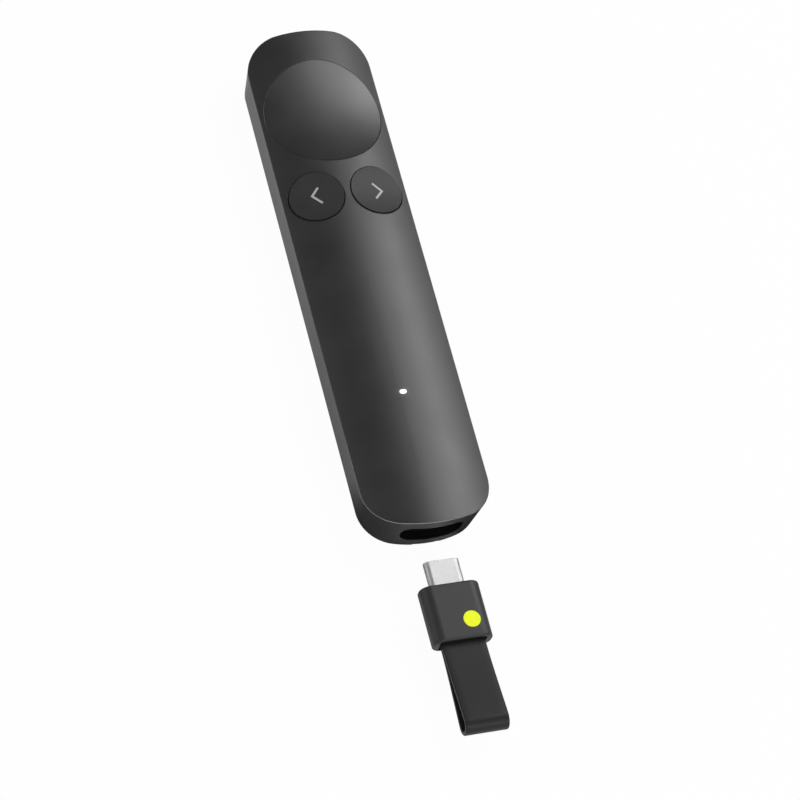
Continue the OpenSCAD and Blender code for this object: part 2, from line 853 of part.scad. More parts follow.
// The casing's full form: four rounded corners, their flats and the core between them
module casing_form() {
    flat_x = receiver_w - 2 * casing_r;
    flat_z = receiver_t - 2 * casing_r;
    rotate([90, 0, 0]) {
        linear_extrude(receiver_l) square([flat_x, flat_z], center = true);
        for (q = [0 : 3]) {
            turn = q * 90;
            sx = (q == 0 || q == 3) ? 1 : -1;
            sy = (q < 2) ? 1 : -1;
            translate([sx * flat_x / 2, sy * flat_z / 2, 0]) rotate([0, 0, turn])
                rotate_extrude(angle = 90, $fn = 48) casing_profile();
        }
        for (side = [0, 1]) {
            mirror([side, 0, 0]) translate([flat_x / 2, flat_z / 2, 0]) rotate([90, 0, 0])
                linear_extrude(flat_z) casing_profile();
            mirror([0, side, 0]) translate([-flat_x / 2, flat_z / 2, 0]) rotate([90, 0, 90])
                linear_extrude(flat_x) casing_profile();
        }
    }
}

module receiver_shell() {
    color("#3a3b3d") on_receiver() difference() {
        casing_form();
        bar(chamber_w, chamber_t, chamber_r, -chamber_l, over);
        bar(recess_w, recess_t, recess_r, -receiver_l - over, recess_l - receiver_l);
        bar(strap_w + 2 * tang_gap, 2 * (strap_t + tang_gap), tang_gap,
            -receiver_l - over, tang_l + tang_gap - receiver_l);
        translate([0, strap_pin_in - receiver_l, 0])
            cylinder(r = strap_pin_r + fit_gap, h = strap_pin_l + 2 * fit_gap, center = true, $fn = 32);
    }
}

module receiver_nose() {
    color("#2c2d2f") on_receiver() difference() {
        bar(chamber_w - 2 * fit_gap, chamber_t - 2 * fit_gap, chamber_r - fit_gap, -nose_t, 0);
        pill_bar(plug_w + 2 * fit_gap, plug_t + 2 * fit_gap, -nose_t - over, over);
    }
}

module plug_shell() {
    color("#d4d5d6") on_receiver() difference() {
        pill_bar(plug_w, plug_t, -plug_root, plug_l);
        pill_bar(plug_w - 2 * plug_wall, plug_t - 2 * plug_wall, -plug_root - over, plug_l + over);
    }
}

module plug_core() {
    in_w = plug_w - 2 * plug_wall - 2 * fit_gap;
    in_t = plug_t - 2 * plug_wall - 2 * fit_gap;
    color("#1b1b1c") on_receiver() difference() {
        pill_bar(in_w, in_t, -plug_root, plug_l - plug_nose);
        translate([-plug_slot_w / 2, plug_l - plug_slot_l, -plug_slot_h / 2])
            cube([plug_slot_w, plug_slot_l, plug_slot_h]);
    }
}

module plug_contacts() {
    color("#c8a040") on_receiver()
        contact_rows(plug_l - pin_back - pin_l, pin_l, plug_slot_h / 2 - plug_pin_t, plug_pin_t);
}

module receiver_board() {
    color("#1f5a3c") on_receiver() translate([-stick_w / 2, -plug_root - stick_l, -stick_t / 2])
        cube([stick_w, stick_l, stick_t]);
}

module receiver_chip() {
    color("#202124") on_receiver()
        translate([-stick_chip_w / 2, -plug_root - stick_l / 2 - stick_chip_w / 2, stick_t / 2])
        cube([stick_chip_w, stick_chip_w, stick_chip_t]);
}

// The strap, along X from the casing's end: a tang inside the casing, two flanks that open
// towards the far bend, and the bend
module strap_form() {
    centre = strap_reach - strap_bend_r;
    reach = sqrt(pow(centre - tang_out, 2) + strap_t * strap_t);
    slope = asin(strap_bend_r / reach) - atan2(strap_t, centre - tang_out);
    inner_r = strap_bend_r - strap_t;
    apex = centre - inner_r / sin(slope);
    touch = touch_share * [-sin(slope), cos(slope)];
    low_touch = [touch[0], -touch[1]];
    difference() {
        union() {
            linear_extrude(strap_w)
                polygon([[-tang_l, strap_t], [tang_out, strap_t],
                    [centre, 0] + strap_bend_r * touch, [centre, 0],
                    [centre, 0] + strap_bend_r * low_touch,
                    [tang_out, -strap_t], [-tang_l, -strap_t]]);
            translate([centre, 0, 0]) cylinder(r = strap_bend_r, h = strap_w);
        }
        translate([0, 0, -over]) linear_extrude(strap_w + 2 * over)
            polygon([[apex, 0], [centre, 0] + inner_r * touch, [centre, 0],
                [centre, 0] + inner_r * low_touch]);
        translate([centre, 0, -over]) cylinder(r = inner_r, h = strap_w + 2 * over);
    }
}

module strap() {
    color("#303133") on_receiver() difference() {
        translate([strap_w / 2, -receiver_l, 0]) rotate([0, 0, -90]) rotate([90, 0, 0]) strap_form();
        translate([0, strap_pin_in - receiver_l, 0])
            cylinder(r = strap_pin_r + tang_gap, h = receiver_t, center = true, $fn = 32);
    }
}

module strap_pin() {
    color("#9a9c9f") on_receiver() translate([0, strap_pin_in - receiver_l, 0])
        cylinder(r = strap_pin_r, h = strap_pin_l, center = true, $fn = 32);
}

housing();
base_cover();
dock_sleeve();
button_frame();
main_board();
pointer_pad();
back_button();
next_button();
pad_plunger();
back_plunger();
next_plunger();
pad_switch();
back_switch();
next_switch();
status_lens();
status_led();
radio_chip();
receptacle_shell();
receptacle_tongue();
receptacle_contacts();
battery();
battery_tape();
battery_leads();
battery_socket();
haptic_motor();
board_screws();
receiver_shell();
receiver_nose();
plug_shell();
plug_core();
plug_contacts();
receiver_board();
receiver_chip();
strap();
strap_pin();
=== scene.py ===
"""Looks of a wireless presentation clicker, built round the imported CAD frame.

The CAD gives the rigid shapes. This script dresses each piece in its material, bends the
strap's band, lays the print on the buttons and on the receiver, and sets up the floor, the
room, the lamps and the camera. The object's own sizes are in millimetres, and the stage's
are in metres.
"""

import json
import math

import bmesh
import bpy
from mathutils import Matrix, Vector
from mathutils.bvhtree import BVHTree


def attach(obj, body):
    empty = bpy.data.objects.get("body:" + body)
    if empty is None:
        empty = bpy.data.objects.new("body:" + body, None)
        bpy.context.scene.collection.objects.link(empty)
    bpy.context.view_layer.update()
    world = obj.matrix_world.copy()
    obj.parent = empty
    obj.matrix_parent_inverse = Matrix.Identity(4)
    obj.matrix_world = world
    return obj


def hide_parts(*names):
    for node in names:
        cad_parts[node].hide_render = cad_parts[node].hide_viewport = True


MM = 0.001

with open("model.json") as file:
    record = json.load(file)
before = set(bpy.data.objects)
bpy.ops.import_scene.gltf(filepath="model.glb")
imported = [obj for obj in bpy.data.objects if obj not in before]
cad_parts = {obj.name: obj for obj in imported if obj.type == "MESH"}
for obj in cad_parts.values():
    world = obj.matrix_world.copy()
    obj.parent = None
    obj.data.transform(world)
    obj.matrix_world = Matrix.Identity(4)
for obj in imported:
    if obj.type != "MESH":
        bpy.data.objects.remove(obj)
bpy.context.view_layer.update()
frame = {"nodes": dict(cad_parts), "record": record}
nodes = frame["nodes"]

# Sizes that the CAD source holds too
AXIS_Z = 7.1  # height of the middle of the slot, the plug and the strap
SHOULDER_Y = -78.45  # the receiver casing's end towards the handset
RECEIVER_L = 13.55  # length of that casing
STRAP_W = 10.1
STRAP_T = 0.9
STRAP_BEND_R = 2.55  # outside of the strap's far bend
STRAP_REACH = 21.2  # how far the strap reaches out of the casing
TANG_L = 4.5  # how deep the band goes into the casing
TANG_OUT = 0.8  # how far outside its two runs still lie together
LENS_AT = (0.0, -32.5, 14.0)  # middle of the status light, on the crown


def mm(*values):
    """Millimetres in metres."""
    return tuple(v * MM for v in values)


def placed(name, data):
    obj = bpy.data.objects.new(name, data)
    bpy.context.scene.collection.objects.link(obj)
    return obj


def mesh_from(bm, name):
    mesh = bpy.data.meshes.new(name)
    bm.to_mesh(mesh)
    bm.free()
    return mesh


# Camera: where the photograph was taken from, solved from the handset's outline
CAM_PLACE = Vector((-0.2188588, -0.3517449, 0.6562204))
CAM_RIGHT = Vector((0.949019, -0.242012, 0.201972))
CAM_AHEAD = Vector((0.290635, 0.423723, -0.857899))
CAM_FOCAL = 150.149  # millimetres, on a sensor of the width below
CAM_SENSOR = 36
CAM_CLIP = (0.05, 20)


def make_camera():
    data = bpy.data.cameras.new("camera")
    data.lens = CAM_FOCAL
    data.sensor_width = CAM_SENSOR
    data.clip_start, data.clip_end = CAM_CLIP
    cam = placed("camera", data)
    back = -CAM_AHEAD.normalized()
    right = (CAM_RIGHT - CAM_RIGHT.dot(back) * back).normalized()
    up = back.cross(right)
    turn = Matrix((right, up, back)).transposed().to_4x4()
    cam.matrix_world = Matrix.Translation(CAM_PLACE) @ turn
    bpy.context.scene.camera = cam


# Lamps: squares and wider panels that all stand one distance away and face the object
LAMP_DISTANCE = 1.0
LAMP_AIM = Vector((0, -0.02, 0.01))
SQUARE = (0.28, 0.28)
# name, direction, size in metres, radiance
LAMPS = [
    ("key", (0.62, 0.42, 0.66), SQUARE, 11.2),
    ("key_low", (0.75, 0.30, 0.58), SQUARE, 3.2),
    ("key_right", (0.84, 0.38, 0.38), SQUARE, 2.6),
    ("key_high", (0.38, 0.42, 0.82), SQUARE, 3.9),
    ("top_right", (0.50, 0.16, 0.85), SQUARE, 3.2),
    ("top", (0.35, 0.10, 0.93), SQUARE, 5.4),
    ("top_back", (0.28, 0.28, 0.92), SQUARE, 0.9),
    ("left_low", (-0.85, 0.45, 0.25), SQUARE, 8.2),
    ("left_high", (-0.60, 0.30, 0.74), SQUARE, 1.4),
    ("front", (-0.30, -0.72, 0.62), (0.42, 0.36), 5.0),
    ("front_right", (0.29, -0.84, 0.42), (0.36, 0.30), 9.5),
    ("front_top", (0.29, -0.56, 0.77), SQUARE, 2.6),
]


def softbox(name, direction, size, radiance):
    data = bpy.data.lights.new(name, "AREA")
    data.shape = "RECTANGLE"
    data.size, data.size_y = size
    data.energy = radiance * math.pi * size[0] * size[1]
    lamp = placed(name, data)
    way = Vector(direction).normalized()
    lamp.location = LAMP_AIM + way * LAMP_DISTANCE
    lamp.rotation_mode = "QUATERNION"
    lamp.rotation_quaternion = way.to_track_quat("Z", "Y")


# Node trees
NOISE_SPAN = (0.3, 0.7)  # where most values of a noise lie
BEVEL_SAMPLES = 8


def rgba(color):
    return (*color, 1)


def tint(color, k):
    return tuple(min(1.0, c * k) for c in color)


class Nodes:
    """Short calls for building a node tree. A value is a number, a tuple or an output."""

    def __init__(self, tree):
        self.tree = tree

    def feed(self, socket, value):
        """Links an output to the socket, or sets the socket's own value."""
        if isinstance(value, bpy.types.NodeSocket):
            self.tree.links.new(value, socket)
        else:
            socket.default_value = value

    def add(self, kind, inputs=None, **settings):
        """A new node with these settings, and with its inputs by name or by number."""
        node = self.tree.nodes.new(kind)
        for key, value in settings.items():
            setattr(node, key, value)
        for key, value in (inputs or {}).items():
            self.feed(node.inputs[key], value)
        return node

    def split(self, vector):
        return list(self.add("ShaderNodeSeparateXYZ", {0: vector}).outputs)

    def ramp(self, value, span, result=(0, 1)):
        """Maps value from span to result, and stays at its ends beyond them."""
        return self.add("ShaderNodeMapRange", {
            "Value": value, "From Min": span[0], "From Max": span[1],
            "To Min": result[0], "To Max": result[1],
        }).outputs["Result"]

    def math(self, op, *values):
        return self.add("ShaderNodeMath", dict(enumerate(values)), operation=op).outputs[0]

    def product(self, first, *others):
        for other in others:
            first = self.math("MULTIPLY", first, other)
        return first

    def vector(self, op, *values):
        node = self.add("ShaderNodeVectorMath", dict(enumerate(values)), operation=op)
        return node.outputs["Value" if op in ("DOT_PRODUCT", "LENGTH") else "Vector"]

    def colors(self, value, *stops):
        """A colour ramp: each stop is (position, colour)."""
        node = self.add("ShaderNodeValToRGB", {"Fac": value})
        elements = node.color_ramp.elements
        for element, (position, color) in zip(elements, stops):
            element.position = position
            element.color = rgba(color)
        return node.outputs["Color"]

    def mix_colors(self, amount, a, b):
        """a, an output, gives way to the colour b."""
        node = self.add("ShaderNodeMix", {"Factor": amount, 6: a, 7: rgba(b)}, data_type="RGBA")
        return node.outputs[2]

    def mix_shaders(self, amount, a, b):
        return self.add("ShaderNodeMixShader", {"Fac": amount, 1: a, 2: b}).outputs["Shader"]

    def emission(self, strength):
        node = self.add("ShaderNodeEmission", {"Color": rgba((1, 1, 1)), "Strength": strength})
        return node.outputs["Emission"]


class Material(Nodes):
    """A new material's tree. Its textures follow the object's own coordinates, in metres."""

    def __init__(self, name):
        self.mat = bpy.data.materials.new(name)
        self.mat.use_nodes = True
        super().__init__(self.mat.node_tree)
        self.tree.nodes.clear()
        self.out = self.add("ShaderNodeOutputMaterial")
        self.coord = self.add("ShaderNodeTexCoord").outputs["Object"]

    def noise(self, scale, detail=3.0, rough=0.5, stretch=None):
        source = self.coord
        if stretch:
            mapping = self.add("ShaderNodeMapping", {"Vector": source, "Scale": stretch})
            source = mapping.outputs["Vector"]
        return self.add("ShaderNodeTexNoise", {
            "Vector": source, "Scale": scale, "Detail": detail, "Roughness": rough,
        }).outputs["Fac"]

    def voronoi(self, scale):
        node = self.add("ShaderNodeTexVoronoi", {"Vector": self.coord, "Scale": scale})
        return node.outputs["Distance"]

    def uneven(self, noise, color, darkest, lightest, span=NOISE_SPAN):
        """The colour, varied between these shares of itself."""
        dark, light = tint(color, darkest), tint(color, lightest)
        return self.colors(noise, (span[0], dark), (span[1], light))

    def around(self, noise, middle, swing, span=NOISE_SPAN):
        """A noise brought to middle - swing .. middle + swing."""
        return self.ramp(noise, span, (middle - swing, middle + swing))

    def true_normal(self):
        return self.add("ShaderNodeNewGeometry").outputs["True Normal"]

    def bevel(self, radius):
        node = self.add("ShaderNodeBevel", {"Radius": radius * MM}, samples=BEVEL_SAMPLES)
        return node.outputs["Normal"]

    def principled(self, rough, spec=0.5, metal=0.0, sheen=0.0):
        node = self.add("ShaderNodeBsdfPrincipled", {
            "Roughness": rough, "Specular IOR Level": spec, "Metallic": metal,
            "Sheen Weight": sheen,
        })
        self.feed(self.out.inputs["Surface"], node.outputs["BSDF"])
        return node

    def relief(self, shader, *layers, bevel=0.0):
        """Stacks bumps, each (height, depth in millimetres), over softened edges."""
        normal = self.bevel(bevel) if bevel else None
        for height, depth in layers:
            inputs = {"Strength": 1.0, "Distance": depth * MM, "Height": height}
            if normal is not None:
                inputs["Normal"] = normal
            normal = self.add("ShaderNodeBump", inputs).outputs["Normal"]
        self.feed(shader.inputs["Normal"], normal)


# Painted light that only the housing's plastic carries: a painted highlight on the slot end's
# edge, painted shade in the receiver slot and a painted glow round the status light. Places
# are on the object: x to the right, y towards the pointer end and z up.
# Painted highlight on the slot end's top edge: its colour, and its width as a share of the bevel's
# radius
EDGE_HIGHLIGHT_COLOR = (0.5, 0.5, 0.51)
EDGE_HIGHLIGHT_WIDTH = 0.75  # of the bevel's radius
# Painted shade inside the receiver slot: the colour and the specular level it gives there
SLOT_SHADE_COLOR = (0.006, 0.006, 0.0063)
SLOT_SHADE_SPEC = 0.15
LIGHT_COLOR = (1.0, 0.99, 0.97)
LENS_SHORTER = 0.7  # the share at which distances along the pill-shaped light count
# Painted glow round the status light: the distances, in millimetres, over which it fades out, and
# its strength
SPILL_SPAN = (0.5, 1.7)
SPILL_STRENGTH = 0.05


def painted_edge_highlight(n, paint, bevel):
    """Painted highlight: lightens the thin line where the crown meets the slot end's wall, in
    place of a lamp's highlight on the rounded edge, and fades it towards the right. The line lies
    where the softened normal turns away from the true one."""
    x, y, z = n.split(n.coord)
    turn = n.vector("DOT_PRODUCT", n.bevel(bevel * EDGE_HIGHLIGHT_WIDTH), n.true_normal())
    # Only the crown's edge lies above 10.8. It drops lower at the corners, so 0.9 is added there.
    height = n.math("ADD", z, n.ramp(n.math("ABSOLUTE", x), mm(9, 12), mm(0, 0.9)))
    amount = n.product(
        n.ramp(turn, (0.985, 0.92)),
        n.ramp(y, mm(-34, -54)),
        n.ramp(height, mm(10.8, 11.4)),
        n.ramp(x, mm(-2, 12), (1, 0.25)),
    )
    return n.mix_colors(amount, paint, EDGE_HIGHLIGHT_COLOR)


def painted_slot_shade(n, shader, paint, spec):
    """Painted shade: blackens the receiver slot's own walls and lowers their specular level, up to
    its mouth in the slot end's wall, for the shade inside the slot.
    """
    x, y, z = n.split(n.coord)
    facing_y = n.split(n.true_normal())[1]
    # The end wall itself faces away from the pointer end, which keeps it out
    inside = n.product(
        n.ramp(facing_y, (-0.6, -0.5)),
        n.ramp(n.math("ABSOLUTE", x), mm(9.2, 8.8)),
        n.ramp(y, mm(-50, -52)),
        n.ramp(z, mm(10.8, 10.5)),
    )
    # Painted shade: the slot's walls lose their gloss as well as their colour
    n.feed(shader.inputs["Specular IOR Level"], n.ramp(inside, (0, 1), (spec, SLOT_SHADE_SPEC)))
    return n.mix_colors(inside, paint, SLOT_SHADE_COLOR)


def lens_distance(n):
    """Distance from the middle of the status light, counted shorter along the light's length."""
    offset = n.vector("SUBTRACT", n.coord, mm(*LENS_AT))
    return n.vector("LENGTH", n.vector("MULTIPLY", offset, (LENS_SHORTER, 1.0, 1.0)))


def painted_glow_spill(n, shader):
    """A painted glow: the housing's own surface round the status light emits faintly, for the
    light's spill on it.
    """
    near = n.ramp(lens_distance(n), mm(*SPILL_SPAN), (1, 0))
    n.feed(shader.inputs["Emission Color"], rgba(LIGHT_COLOR))
    n.feed(shader.inputs["Emission Strength"],
           n.math("MULTIPLY", n.math("POWER", near, 2.0), SPILL_STRENGTH))


def housing_painted_light(n, shader, paint, spec, bevel):
    """The painted edge highlight, the painted slot shade and the painted glow together, on the
    housing's own paint.
    """
    painted_glow_spill(n, shader)
    return painted_slot_shade(n, shader, painted_edge_highlight(n, paint, bevel), spec)


# Materials. Scales of textures are per metre, and depths of relief are in millimetres.
def moulded(name, color, rough, spec=0.5, grain=0.16, depth=0.0035, bevel=0.2, spread=0.1,
            trim=None):
    """Satin moulded plastic: a fine spark-eroded grain, slightly uneven colour and gloss."""
    n = Material(name)
    shader = n.principled(rough, spec)
    slow = n.noise(90, detail=2.0)
    fine = n.noise(1 / MM / grain, detail=2.0, rough=0.6)
    cells = n.voronoi(1 / MM / (grain * 2.2))
    paint = n.uneven(slow, color, 1 - spread, 1 + spread)
    # The housing's trim paints light and shade into its colour
    if trim:
        paint = trim(n, shader, paint, spec, bevel)
    n.feed(shader.inputs["Base Color"], paint)
    n.feed(shader.inputs["Roughness"],
           n.math("ADD", n.around(slow, rough, 0.02), n.around(fine, 0, 0.025)))
    n.relief(shader, (fine, depth), (cells, depth * 0.8), bevel=bevel)
    return n.mat


def metal(name, color, rough, brush=(60, 4, 60), depth=0.0015, bevel=0.12):
    """Drawn and plated metal: faint lines along the sheet, with handling marks."""
    n = Material(name)
    shader = n.principled(rough, metal=1.0)
    lines = n.noise(420, rough=0.6, stretch=brush)
    blots = n.noise(260, rough=0.55)
    n.feed(shader.inputs["Base Color"], n.uneven(blots, color, 0.93, 1.04))
    n.feed(shader.inputs["Roughness"],
           n.math("ADD", n.around(lines, rough, 0.05), n.around(blots, 0, 0.03, (0.35, 0.65))))
    n.relief(shader, (lines, depth), bevel=bevel)
    return n.mat


def rubber(name, color, rough, spec=0.4):
    """Soft-touch elastomer with a very fine, dusty skin and faint flow along its length."""
    n = Material(name)
    shader = n.principled(rough, spec, sheen=0.04)
    slow = n.noise(140, rough=0.6, stretch=(1, 0.25, 1))
    fine = n.noise(7200, detail=2.0, rough=0.6)
    n.feed(shader.inputs["Base Color"], n.uneven(slow, color, 0.9, 1.1))
    n.feed(shader.inputs["Roughness"],
           n.math("ADD", n.around(slow, rough, 0.03), n.around(fine, 0, 0.03)))
    n.relief(shader, (fine, 0.003), (slow, 0.01), bevel=0.12)
    return n.mat


def circuit(name):
    """Solder mask over copper tracks, with tinned pads showing through."""
    n = Material(name)
    shader = n.principled(0.32)
    bricks = n.add("ShaderNodeTexBrick", {
        "Vector": n.coord,
        "Scale": 420,
        "Mortar Size": 0.03,
        "Color1": rgba((0.012, 0.085, 0.04)),
        "Color2": rgba((0.018, 0.115, 0.055)),
        "Mortar": rgba((0.03, 0.19, 0.09)),
    })
    pads = n.ramp(n.voronoi(520), (0.10, 0.13), (1, 0))
    n.feed(shader.inputs["Base Color"],
           n.mix_colors(pads, bricks.outputs["Color"], (0.55, 0.5, 0.36)))
    n.feed(shader.inputs["Roughness"], n.ramp(pads, (0, 1), (0.34, 0.22)))
    n.relief(shader, (bricks.outputs["Fac"], -0.01), (pads, 0.015))
    return n.mat


def foil(name):
    """The crimped aluminium pouch of a flat cell."""
    n = Material(name)
    shader = n.principled(0.34, metal=1.0)
    wrinkle = n.noise(320, detail=4.0, rough=0.6)
    fine = n.noise(2600, detail=2.0)
    n.feed(shader.inputs["Base Color"],
           n.colors(wrinkle, (0.3, (0.42, 0.43, 0.45)), (0.7, (0.6, 0.61, 0.63))))
    n.feed(shader.inputs["Roughness"], n.around(wrinkle, 0.35, 0.07))
    n.relief(shader, (wrinkle, 0.04), (fine, 0.004))
    return n.mat


def printed(name, color, rough=0.5, spec=0.4, glow=0.0):
    """Pad-printed ink: an even film with a slight orange-peel and thin spots."""
    n = Material(name)
    shader = n.principled(rough, spec)
    peel = n.noise(3600, detail=2.0)
    thin = n.noise(900, rough=0.6)
    # A painted glow when glow is above 0: the ink emits light of its own colour, whatever the
    # lamps
    n.feed(shader.inputs["Emission Color"], rgba(color))
    n.feed(shader.inputs["Emission Strength"], glow)
    n.feed(shader.inputs["Base Color"], n.uneven(thin, color, 0.93, 1.03, span=(0.25, 0.75)))
    n.feed(shader.inputs["Roughness"], n.around(peel, rough, 0.05))
    n.relief(shader, (peel, 0.002))
    return n.mat


def glowing_lens(name):
    """A small light guide, lit from below: brightest in its middle."""
    n = Material(name)
    shader = n.principled(0.25)
    frost = n.noise(4000, detail=2.0)
    n.feed(shader.inputs["Base Color"],
           n.colors(frost, (0.3, (0.78, 0.78, 0.76)), (0.7, (0.84, 0.84, 0.82))))
    n.feed(shader.inputs["Emission Color"], rgba(LIGHT_COLOR))
    n.feed(shader.inputs["Emission Strength"],
           n.ramp(lens_distance(n), mm(0.35, 0.6), (1.0, 0.3)))
    n.feed(shader.inputs["Roughness"], n.around(frost, 0.26, 0.06))
    n.relief(shader, (frost, 0.002))
    return n.mat


SHELL = (0.0245, 0.0248, 0.0258)

MATERIALS = {
    "housing_plastic": moulded("housing_plastic", SHELL, 0.4, bevel=0.3, trim=housing_painted_light),
    "base_plastic": moulded("base_plastic", tint(SHELL, 0.9), 0.5, grain=0.25, depth=0.006),
    "cap_plastic": moulded("cap_plastic", SHELL, 0.36, spec=0.58, bevel=0.03),
    "button_plastic": moulded("button_plastic", tint(SHELL, 1.12), 0.5, spec=0.28, bevel=0.06),
    "inner_plastic": moulded("inner_plastic", (0.006, 0.006, 0.0065), 0.6, spec=0.25, bevel=0.1),
    "light_plastic": moulded("light_plastic", (0.6, 0.59, 0.54), 0.45, bevel=0.1, spread=0.04),
    "board": circuit("board"),
    "chip": moulded("chip", (0.014, 0.014, 0.016), 0.5, grain=0.1, bevel=0.08),
    "plug_steel": metal("plug_steel", (0.52, 0.52, 0.52), 0.56, brush=(20, 3, 20)),
    "small_steel": metal("small_steel", (0.55, 0.56, 0.57), 0.3),
    "contact": metal("contact", (0.75, 0.52, 0.2), 0.25, bevel=0.03),
    "lens": glowing_lens("lens"),
    "battery_foil": foil("battery_foil"),
    "tape": rubber("tape", (0.62, 0.59, 0.5), 0.75),
    "lead": rubber("lead", (0.28, 0.02, 0.016), 0.45),
    "receiver_plastic": moulded("receiver_plastic", tint(SHELL, 0.95), 0.5, spec=0.36),
    "strap_rubber": rubber("strap_rubber", (0.0135, 0.0137, 0.0142), 0.48, spec=0.2),
    "mark_ink": printed("mark_ink", (0.42, 0.42, 0.42)),
    # The yellow dot's ink takes a faint painted glow, which makes it brighter than its lit colour
    "dot_ink": printed("dot_ink", (0.84, 0.93, 0.015), spec=0.15, glow=0.05),
}

# Each CAD node takes the material of its slot in the record, but for these
OWN_LOOK = {"back_button": "button_plastic", "next_button": "button_plastic"}


def dress_nodes():
    for part in frame["record"]["subparts"]:
        look = OWN_LOOK.get(part["node"], part["material_slot"])
        materials = nodes[part["node"]].data.materials
        materials.clear()
        materials.append(MATERIALS[look])


def new_object(name, mesh, look, body):
    obj = placed(name, mesh)
    mesh.materials.append(MATERIALS[look])
    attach(obj, body)
    return obj


# Strap: a closed band whose tang is pinned inside the casing, with counts of its steps
TANG_STEPS, RUN_STEPS, BEND_STEPS, BAND_EDGE_STEPS = 6, 30, 16, 4
RUNS_APART = 0.02  # half of the gap between the runs where they lie together
RISE_POWER = 2.1  # how late the run rises
RISE_EARLY = 1.6  # what the middle of its way gains on that
RISE_SAG = 0.15  # and what it loses again
BAND_EDGE_R = 0.28
FLAT_POINTS = (3.2, 1.1, -1.1, -3.2)  # across the band, between its rounded edges


def strap_rise(t):
    """The share of its rise that the upper run has made at share t of its way to the bend."""
    rise = t ** RISE_POWER * (1 + RISE_EARLY * (1 - t)) / (1 + RISE_SAG * math.sin(math.pi * t))
    return min(1.0, rise)


def strap_centreline():
    """The upper half of the band's middle line, as (distance from the casing, height). The two
    runs lie together as they leave the casing, then part in a soft curve towards the bend."""
    bend_x = STRAP_REACH - STRAP_BEND_R
    bend_r = STRAP_BEND_R - STRAP_T / 2
    low = STRAP_T / 2 + RUNS_APART
    points = [Vector((-TANG_L + (TANG_L + TANG_OUT) * i / TANG_STEPS, low))
              for i in range(TANG_STEPS + 1)]
    for i in range(1, RUN_STEPS + 1):
        t = i / RUN_STEPS
        points.append(Vector((TANG_OUT + (bend_x - TANG_OUT) * t,
                              low + (bend_r - low) * strap_rise(t))))
    for i in range(1, BEND_STEPS + 1):
        angle = math.pi / 2 * (1 - i / BEND_STEPS)
        points.append(Vector((bend_x + bend_r * math.cos(angle), bend_r * math.sin(angle))))
    return points


def band_section():
    """The band's cross-section as (across, out) points, with rounded edges."""
    x, z = STRAP_W / 2 - BAND_EDGE_R, STRAP_T / 2 - BAND_EDGE_R
    points = []
    for quarter, (cx, cz) in enumerate(((x, z), (-x, z), (-x, -z), (x, -z))):
        for i in range(BAND_EDGE_STEPS + 1):
            angle = math.radians(90 * quarter + 90 * i / BAND_EDGE_STEPS)
            points.append((cx + BAND_EDGE_R * math.cos(angle), cz + BAND_EDGE_R * math.sin(angle)))
        if quarter in (0, 2):
            side = 1 - quarter
            points.extend((side * across, side * STRAP_T / 2) for across in FLAT_POINTS)
    return points


def make_strap():
    upper = strap_centreline()
    path = upper + [Vector((p.x, -p.y)) for p in reversed(upper[:-1])]
    section = band_section()
    casing_end = SHOULDER_Y - RECEIVER_L
    bm = bmesh.new()
    rings = []
    for i, p in enumerate(path):
        ahead = (path[min(i + 1, len(path) - 1)] - path[max(i - 1, 0)]).normalized()
        out = Vector((-ahead.y, ahead.x))
        ring = []
        for across, lift in section:
            q = p + out * lift
            ring.append(bm.verts.new(mm(across, casing_end - q.x, AXIS_Z + q.y)))
        rings.append(ring)
    count = len(section)
    for a, b in zip(rings, rings[1:]):
        for i in range(count):
            bm.faces.new((a[i], a[(i + 1) % count], b[(i + 1) % count], b[i]))
    bm.faces.new(list(reversed(rings[0])))
    bm.faces.new(rings[-1])
    bmesh.ops.recalc_face_normals(bm, faces=bm.faces)
    mesh = mesh_from(bm, "strap_band")
    mesh.polygons.foreach_set("use_smooth", [True] * len(mesh.polygons))
    obj = new_object("strap_band", mesh, "strap_rubber", "receiver")
    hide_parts("strap")


# Printed marks: thin closed films of ink that lie on the surface below them
FILM_OUT = 0.02  # how far a film stands out of its surface
FILM_SINK = 0.01  # and how deep it starts below it
RAY_FROM = 0.05  # metres, above everything
CUT_CLOSE = 1e-5  # millimetres within which a cut takes a point as its own
CHEVRON_STROKE = 0.5
DOT_POINTS = 48


def surface_of(node):
    mesh = nodes[node].data
    return BVHTree.FromPolygons([v.co.copy() for v in mesh.vertices],
                                [tuple(p.vertices) for p in mesh.polygons])


def film(name, outline, node, look, body, step=0.25):
    """A flat shape, given as its outline, is cut into steps and laid on the node's top."""
    bm = bmesh.new()
    bm.faces.new([bm.verts.new((x, y, 0)) for x, y in outline])
    for axis in (0, 1):
        lo, hi = min(p[axis] for p in outline), max(p[axis] for p in outline)
        cuts = int((hi - lo) / step)
        for i in range(1, cuts + 1):
            spot, normal = Vector((0, 0, 0)), Vector((0, 0, 0))
            spot[axis] = lo + (hi - lo) * i / (cuts + 1)
            normal[axis] = 1
            bmesh.ops.bisect_plane(bm, geom=bm.verts[:] + bm.edges[:] + bm.faces[:],
                                   plane_co=spot, plane_no=normal, dist=CUT_CLOSE)
    tree = surface_of(node)
    for v in bm.verts:
        x, y = v.co.x * MM, v.co.y * MM
        hit = tree.ray_cast(Vector((x, y, RAY_FROM)), Vector((0, 0, -1)))[0]
        v.co = Vector((x, y, hit.z - FILM_SINK * MM))
    extruded = bmesh.ops.extrude_face_region(bm, geom=bm.faces[:])
    for g in extruded["geom"]:
        if isinstance(g, bmesh.types.BMVert):
            g.co.z += (FILM_OUT + FILM_SINK) * MM
    bmesh.ops.recalc_face_normals(bm, faces=bm.faces)
    new_object(name, mesh_from(bm, name), look, body)


